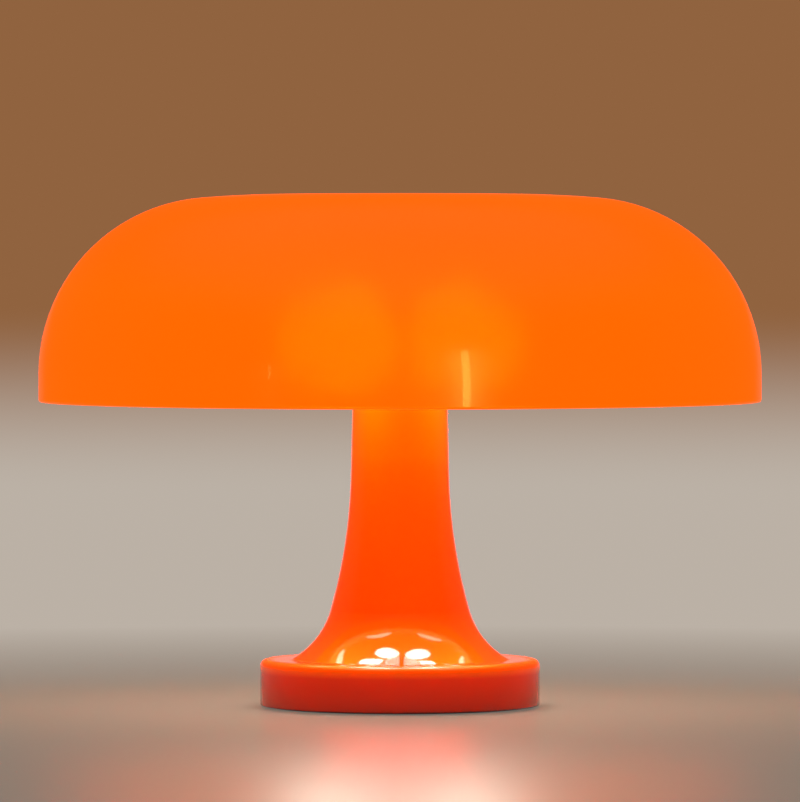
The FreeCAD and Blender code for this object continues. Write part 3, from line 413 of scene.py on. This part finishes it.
def prism(corners, bottom, top, top_scale=1.0):
    """An upright block on a flat outline of (x, y), which may narrow or widen towards its top."""
    build = bmesh.new()
    low = [build.verts.new((x, y, bottom)) for x, y in corners]
    high = [build.verts.new((x * top_scale, y * top_scale, top)) for x, y in corners]
    build.faces.new(low)
    build.faces.new(high)
    for index in range(len(corners)):
        build.faces.new((low[index - 1], low[index], high[index], high[index - 1]))
    return build


def moved(build, place):
    bmesh.ops.transform(build, matrix=place, verts=build.verts)
    return build


def temporary(build):
    bmesh.ops.recalc_face_normals(build, faces=build.faces)
    mesh = bpy.data.meshes.new("temporary")
    build.to_mesh(mesh)
    build.free()
    made = bpy.data.objects.new("temporary", mesh)
    bpy.context.scene.collection.objects.link(made)
    return made


def joined(first, second, operation):
    """One shape cut by another, or what both share."""
    kept = temporary(first)
    tool = temporary(second)
    step = kept.modifiers.new("joined", "BOOLEAN")
    step.operation = operation
    step.solver = "EXACT"
    step.object = tool
    result = bpy.data.meshes.new_from_object(kept.evaluated_get(bpy.context.evaluated_depsgraph_get()))
    build = bmesh.new()
    build.from_mesh(result)
    bpy.data.meshes.remove(result)
    for made in (kept, tool):
        mesh = made.data
        bpy.data.objects.remove(made)
        bpy.data.meshes.remove(mesh)
    return build


def repeated(build, places):
    """One shape, in millimetres, at several places."""
    mesh = bpy.data.meshes.new("repeated")
    build.to_mesh(mesh)
    build.free()
    together = bmesh.new()
    for place in places:
        count = len(together.verts)
        together.from_mesh(mesh)
        together.verts.ensure_lookup_table()
        bmesh.ops.transform(together, matrix=place @ Matrix.Scale(MM, 4), verts=together.verts[count:])
    bpy.data.meshes.remove(mesh)
    return together


def add_piece(name, build, material, body="base", replaced=()):
    bmesh.ops.recalc_face_normals(build, faces=build.faces)
    mesh = bpy.data.meshes.new(name)
    build.to_mesh(mesh)
    build.free()
    mesh.shade_smooth()
    mesh.set_sharp_from_angle(angle=SHARP_EDGE)
    mesh.materials.append(MATERIALS[material])
    made = bpy.data.objects.new(name, mesh)
    bpy.context.scene.collection.objects.link(made)
    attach(made, body)
    if replaced:
        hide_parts(*replaced)


def levels(node):
    """The different heights of a node's corners in millimetres, from the lowest up."""
    return sorted({round(corner.co.z / MM, 2) for corner in NODES[node].data.vertices})


# Bulb caps and screw shells: thin metal rolled into the same thread, so that a bulb turns in its shell

THREAD_PITCH = 2.82
THREAD_DEPTH = 0.7
THREAD_ROWS = 12
THREAD_SEGMENTS = 72


def rolled_cap():
    metal = 0.35
    crest = 6.95
    outside = thread(4.0, 19.6, crest, THREAD_DEPTH, THREAD_PITCH, THREAD_ROWS, True)
    inside = thread(19.8, 4.3, crest - metal, THREAD_DEPTH, THREAD_PITCH, THREAD_ROWS, True)
    mouth = [(4.55, 2.35), (4.7, 2.2), (5.0, 2.25), (5.9, 3.2)]
    taper = [(6.7, 20.2), (7.4, 21.3), (8.2, 22.3), (8.55, 22.8), (8.65, 23.2)]
    lip = [(8.65, 24.2), (8.55, 24.55), (8.4, 24.6), (8.3, 24.45)]
    taper_inside = [(8.3, 23.1), (7.7, 22.5), (6.9, 21.5), (6.2, 20.5)]
    return turned(mouth + outside + taper + lip + taper_inside + inside, THREAD_SEGMENTS, THREAD_PITCH)


def rolled_shell():
    metal = 0.6
    crest = 7.15
    inside = thread(1.5, 17.1, crest, THREAD_DEPTH, THREAD_PITCH, THREAD_ROWS, False)
    outside = thread(17.1, 1.5, crest + metal, THREAD_DEPTH, THREAD_PITCH, THREAD_ROWS, False)
    return turned(inside + outside, THREAD_SEGMENTS, THREAD_PITCH)


def holder_rib():
    """One grip rib on a lampholder, sunk a little into it, with sloping ends."""
    outline = [(11.2, -5.3), (11.45, -5.3), (11.85, -4.8), (11.85, 7.9), (11.45, 8.4), (11.2, 8.4)]
    half_width = 0.35
    build = bmesh.new()
    sides = []
    for side in (-half_width, half_width):
        sides.append([build.verts.new((radius, side, level)) for radius, level in outline])
    for side in sides:
        build.faces.new(side)
    for index in range(len(outline)):
        build.faces.new((sides[0][index - 1], sides[0][index], sides[1][index], sides[1][index - 1]))
    return build


RIBS = 30
RIBS_AT_LEADS = (0, 1, RIBS - 1)
rib_places = []
for place in BULB_PLACES:
    for step, rib_turn in enumerate(around(RIBS)):
        if step not in RIBS_AT_LEADS:
            rib_places.append(place @ rib_turn)
add_piece("holder_ribs", repeated(holder_rib(), rib_places), "holder_plastic")

for number, place in zip(BULBS, BULB_PLACES):
    cap = repeated(rolled_cap(), [place])
    add_piece(f"rolled_cap_{number}", cap, "bulb_cap_metal", f"bulb_{number}", [f"bulb_cap_{number}"])
    shell = repeated(rolled_shell(), [place])
    add_piece(f"rolled_shell_{number}", shell, "contact_brass", "base", [f"screw_shell_{number}"])


# The tube with its nuts and washers

FIT = 0.1
TUBE_RADIUS = 5.0
TUBE_BORE = 3.5
TUBE_CHAMFER = 0.3
TUBE_THREAD = (TUBE_RADIUS, 0.6, 1.0, 6, True)
LOWER_THREAD_TOP = 30
UPPER_THREAD_BOTTOM = 132
SLOTS_BELOW_TIPS = 16.5
HEX_TURN = FIRST_AZIMUTH + math.radians(45)


def threaded_tube():
    """The tube, threaded at both ends, with four slots that let the leads in."""
    bottom, top = levels("tie_tube")[0], levels("tie_tube")[-1]
    outline = [(TUBE_BORE, bottom + TUBE_CHAMFER), (TUBE_BORE + TUBE_CHAMFER, bottom)]
    outline += thread(bottom, LOWER_THREAD_TOP, *TUBE_THREAD)
    outline += thread(UPPER_THREAD_BOTTOM, top, *TUBE_THREAD)
    outline += [(TUBE_BORE + TUBE_CHAMFER, top), (TUBE_BORE, top - TUBE_CHAMFER)]
    tube = turned(outline, 40)
    half_width = 2.1
    half_length = 3.5
    arc = [math.pi * step / 12 for step in range(13)]
    slot = [(half_length + half_width * math.sin(a), half_width * math.cos(a)) for a in arc]
    slot += [(-half_length - half_width * math.sin(a), -half_width * math.cos(a)) for a in arc]
    slot_level = BULB_PLACES[0].translation.z / MM - SLOTS_BELOW_TIPS
    for step in range(len(BULBS)):
        cutter = prism(slot, 2.6, 6.0)
        moved(cutter, Matrix.Rotation(math.radians(90), 4, "Y"))
        moved(cutter, Matrix.Rotation(FULL_TURN * step / len(BULBS), 4, "Z"))
        moved(cutter, Matrix.Translation((0, 0, slot_level)))
        tube = joined(tube, cutter, "DIFFERENCE")
    return tube


def hex_nut(flats, height, bore):
    """A nut with both ends chamfered, as the shape that a hexagon and a turned blank share."""
    corner = flats / 2 / math.cos(math.radians(30))
    angles = [FULL_TURN * step / 6 for step in range(6)]
    lead_in = 0.4
    slope = 0.75
    inner = flats / 2 + 0.1
    outer = corner + 0.2
    blank = turned([
        (bore, lead_in), (bore + lead_in, 0), (inner, 0), (outer, slope),
        (outer, height - slope), (inner, height), (bore + lead_in, height), (bore, height - lead_in),
    ], 72)
    hexagon = prism([(corner * math.cos(a), corner * math.sin(a)) for a in angles], -0.01, height + 0.01)
    return joined(blank, hexagon, "INTERSECT")


def washer(bore, radius, thickness):
    edge = 0.2
    top = thickness - edge
    return turned([
        (bore, edge), (bore + edge, 0), (radius - edge, 0), (radius, edge),
        (radius, top), (radius - edge, thickness), (bore + edge, thickness), (bore, top),
    ], 72)


tube = repeated(threaded_tube(), [at(turn=FIRST_AZIMUTH)])
add_piece("threaded_tube", tube, "zinc_steel", "base", ["tie_tube"])

# Each second level is the underside of a nut or a washer
nut_places = [at(z=level, turn=HEX_TURN) for level in levels("tube_nuts")[::2]]
nuts = repeated(hex_nut(14, 4, TUBE_RADIUS + FIT), nut_places)
add_piece("chamfered_nuts", nuts, "zinc_steel", "base", ["tube_nuts"])
washer_places = [at(z=level) for level in levels("tube_washers")[::2]]
washers = repeated(washer(TUBE_RADIUS + FIT, 8.5, 1), washer_places)
add_piece("bevelled_washers", washers, "zinc_steel", "base", ["tube_washers"])


# Screws. Each points up, with its head at level 0 or below it.

def cross_recess(size, depth, face):
    """A tool with the shape of a cross recess, which narrows from the head's face into the screw."""
    half = size * 0.14
    reach = size / 2
    corners = [
        (reach, -half), (reach, half), (half, half), (half, reach), (-half, reach), (-half, half),
        (-reach, half), (-reach, -half), (-half, -half), (-half, -reach), (half, -reach), (half, -half),
    ]
    return prism(corners, face - 0.4, face + depth, 0.5)


def slot_recess(length, width, depth, face):
    half = (length / 2, width / 2)
    corners = [(-half[0], -half[1]), (half[0], -half[1]), (half[0], half[1]), (-half[0], half[1])]
    return prism(corners, face - 0.4, face + depth)


def shank(radius, start, length, pitch):
    depth = radius * 0.22
    points = thread(start, length - radius, radius, depth, pitch, 6, True)
    return points + [(radius * 0.45, length), (0, length)]


def pan_screw(radius, head, height, length, pitch):
    outline = [(0, -height), (head * 0.55, -height), (head * 0.85, -height * 0.8), (head, -height * 0.35)]
    outline += [(head, 0), (radius - radius * 0.22, 0)]
    return turned(outline + shank(radius, 0.1, length, pitch), 32, pitch)


def countersunk_screw(radius, head, length, pitch):
    outline = [(0, 0), (head - 0.15, 0), (head, 0.15), (radius * 0.9, head - radius * 0.9 + 0.15)]
    return turned(outline + shank(radius, head - radius + 0.4, length, pitch), 40, pitch)


def add_screws(name, shape, recess, places, replaced):
    screws = repeated(joined(shape, recess, "DIFFERENCE"), places)
    add_piece(name, screws, "zinc_steel", "base", [replaced])


places = around(3, at(x=52, z=1.6), math.radians(-90))
shape = countersunk_screw(1.5, 3.2, 9, 1.1)
add_screws("cross_head_cover_screws", shape, cross_recess(3.4, 1.4, 0), places, "cover_screws")

head_height = 1.8
places = [place @ at(y=side, z=-7.7) for place in BULB_PLACES for side in (-8.9, 8.9)]
shape = pan_screw(1.5, 2.4, head_height, 7, 1.1)
add_screws("cross_head_holder_screws", shape, cross_recess(2.9, 1.1, -head_height), places, "holder_screws")

# The slots of the two terminal screws stand at different angles
low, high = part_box("terminal_screws")
head = 1.9
head_height = 1.4
offset = high.x / MM - head
middle = (low.y + high.y) / 2 / MM
places = [at(x=side, y=middle, z=low.z / MM + head_height, turn=side) for side in (-offset, offset)]
shape = pan_screw(1.2, head, head_height, 2, 0.7)
recess = slot_recess(4.4, 0.6, 0.7, -head_height)
add_screws("slotted_terminal_screws", shape, recess, places, "terminal_screws")

low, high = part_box("block_screw")
head_height = 1.9
length = (high.z - low.z) / MM - head_height
places = [at(y=(low.y + high.y) / 2 / MM, z=low.z / MM + head_height)]
shape = pan_screw(1.5, 2.7, head_height, length, 0.8)
add_screws("cross_head_block_screw", shape, cross_recess(3.2, 1.1, -head_height), places, "block_screw")


# Moulded rings that stiffen the bottom cover, clear of the table

def ring_bead(radius):
    half_width = 0.8
    depth = 0.5
    arc = [math.pi * step / 8 for step in range(9)]
    outline = [(radius + half_width * math.cos(a), 1.45 - depth * math.sin(a)) for a in arc]
    return turned([(radius - half_width, 1.6), *reversed(outline), (radius + half_width, 1.6)], 128)


for count, radius in enumerate((12, 22, 32), 1):
    add_piece(f"cover_ring_{count}", repeated(ring_bead(radius), [Matrix()]), "cover_plastic")


# The stage: a pale floor that fades into a pale backdrop, darker and warmer above the table

BACKDROP = (0.50, 0.44, 0.38)
WALL = (0.28, 0.125, 0.05)
FRONT = (0.17, 0.045, 0.006)
CEILING = (0.52, 0.45, 0.36)
FLOOR_GAP = 0.3 * MM


def seen_directly(t):
    """1 where a camera, glossy or transmission ray arrives, for what the background looks like."""
    path = t.add("ShaderNodeLightPath").outputs
    most = t.math("MAXIMUM", path["Is Camera Ray"], path["Is Glossy Ray"])
    return t.math("MAXIMUM", most, path["Is Transmission Ray"])


def make_floor():
    mesh = bpy.data.meshes.new("floor")
    build = bmesh.new()
    bmesh.ops.create_circle(build, cap_ends=True, segments=192, radius=1.2)
    build.to_mesh(mesh)
    build.free()
    floor = bpy.data.objects.new("floor", mesh)
    floor.location.z = -FLOOR_GAP
    bpy.context.scene.collection.objects.link(floor)
    t = new_material("pale_floor")
    from_front = t.vector("DISTANCE", t.place(), (0, -0.25, 0), "Value")
    fade = t.math("MULTIPLY", t.spread(from_front, 0.3, 1.0, 0.38, 0.95), seen_directly(t))
    t.finish(
        Base_Color=(0.12, 0.155, 0.165),
        Roughness=0.275,
        Specular_IOR_Level=0.21,
    )
    lit = t.tree.nodes["Principled BSDF"].outputs[0]
    backdrop = t.add("ShaderNodeEmission", {"Color": BACKDROP, "Strength": 1.0}).outputs[0]
    mix = t.add("ShaderNodeMixShader", {0: fade, 1: lit, 2: backdrop}).outputs[0]
    # From below the floor is clear, and so it is for rays that start right above it, under the foot
    clear = t.add("ShaderNodeBsdfTransparent").outputs[0]
    below = t.add("ShaderNodeNewGeometry").outputs["Backfacing"]
    close = t.math("LESS_THAN", t.add("ShaderNodeLightPath").outputs["Ray Length"], 2 * FLOOR_GAP)
    unseen = t.math("MAXIMUM", below, close)
    surface = t.add("ShaderNodeMixShader", {0: unseen, 1: mix, 2: clear}).outputs[0]
    t.tree.links.new(surface, t.tree.nodes["Material Output"].inputs["Surface"])
    mesh.materials.append(t.owner)


def make_world():
    """A backdrop, pale below and darker above. What lights the lamp is dim in front and brighter overhead.

    For what the gloss of the lamp mirrors, the pale part reaches higher and lies only right behind the lamp.
    """
    world = bpy.data.worlds.new("studio")
    bpy.context.scene.world = world
    t = Tree(world)
    direction = t.add("ShaderNodeTexCoord").outputs["Generated"]
    parts = t.add("ShaderNodeSeparateXYZ", {0: direction}).outputs
    lighting = t.math("SUBTRACT", 1.0, t.add("ShaderNodeLightPath").outputs["Is Camera Ray"])
    colour = BACKDROP
    steps = (
        ("Z", t.choose(lighting, -0.034, 0.04), t.choose(lighting, -0.008, 0.10), WALL, 1.0),
        ("Y", 0.98, 0.90, WALL, lighting),
        ("Y", 0.2, -0.2, FRONT, lighting),
        ("Z", 0.45, 0.98, CEILING, 1.0),
    )
    for axis, start, end, following, most in steps:
        inputs = {0: parts[axis], 1: start, 2: end, 4: most}
        rise = t.add("ShaderNodeMapRange", inputs, interpolation_type="SMOOTHSTEP").outputs[0]
        colour = t.blend(rise, colour, following)
    t.feed(t.tree.nodes["Background"], "Color", colour)


def lit_only(light, name, objects):
    """Lets a light reach only these objects."""
    reached = bpy.data.collections.new(name)
    for made in objects:
        reached.objects.link(made)
    light.light_linking.receiver_collection = reached


def add_light(name, shape, size, energy, color, place, objects):
    """A hidden lamp that shines along its own -Z and reaches only these objects."""
    light = bpy.data.lights.new(name, "AREA")
    light.shape = shape
    light.size, light.size_y = size
    light.energy = energy
    light.color = color
    made = bpy.data.objects.new(name, light)
    made.matrix_world = place
    made.visible_camera = False
    bpy.context.scene.collection.objects.link(made)
    lit_only(made, f"lit_by_{name}", objects)
    return made


def make_glow():
    """What the bulbs and the inner side of the shade throw down on the stem, the foot and the floor."""
    below = [NODES[name] for name in ("foot_and_stem", "stem_top_cap", "cord_inlet_bush")]
    below.append(bpy.data.objects["floor"])
    for name in numbered("bulb_glass"):
        lit_only(NODES[name], f"below_{name}", [*below, NODES["shade"]])
    width = 0.31
    glow = add_light("shade_glow", "DISK", (width, width), 0.90, INNER_GLOW, at(z=178), below)
    glow.visible_transmission = False


def make_glints():
    """Each bulb glints in the glossy shoulder of the shade, and the flare mirrors that as a faint arc."""
    size = (0.016, 0.095)
    for number, place in zip(BULBS, BULB_PLACES):
        azimuth = math.atan2(place.translation.y, place.translation.x)
        there = Matrix.Rotation(azimuth, 4, "Z") @ at(x=118, z=176)
        name = f"glint_{number}"
        glint = add_light(name, "ELLIPSE", size, 0.034, (1.0, 0.8, 0.6), there, [NODES["foot_and_stem"]])
        glint.visible_transmission = False


def make_strip(name, place, width, height, energy):
    """A slim warm light that only the shade's gloss shows."""
    place = Vector(place)
    aim = Vector((0, 0, place.z)) - place
    there = Matrix.Translation(place) @ aim.to_track_quat("-Z", "Y").to_matrix().to_4x4()
    strip = add_light(name, "RECTANGLE", (width, height), energy, (1.0, 0.6, 0.1), there, [NODES["shade"]])
    strip.visible_diffuse = False


def make_camera():
    camera = bpy.data.cameras.new("camera")
    camera.lens = 331.95
    camera.sensor_width = 36
    camera.clip_end = 60
    seat = bpy.data.objects.new("camera", camera)
    seat.location = (0, -3.276, 0.2048)
    seat.rotation_euler = Euler((math.radians(90 - 1.216), 0, 0))
    bpy.context.scene.collection.objects.link(seat)
    bpy.context.scene.camera = seat


make_floor()
make_world()
make_glow()
make_glints()
make_strip("strip_right", (1.038, -2.814, 0.40), 0.12, 1.2, 46.0)
make_strip("strip_left", (-1.948, -2.281, 0.31), 0.05, 0.40, 2.0)
make_camera()
bpy.context.scene.view_settings.view_transform = "Standard"
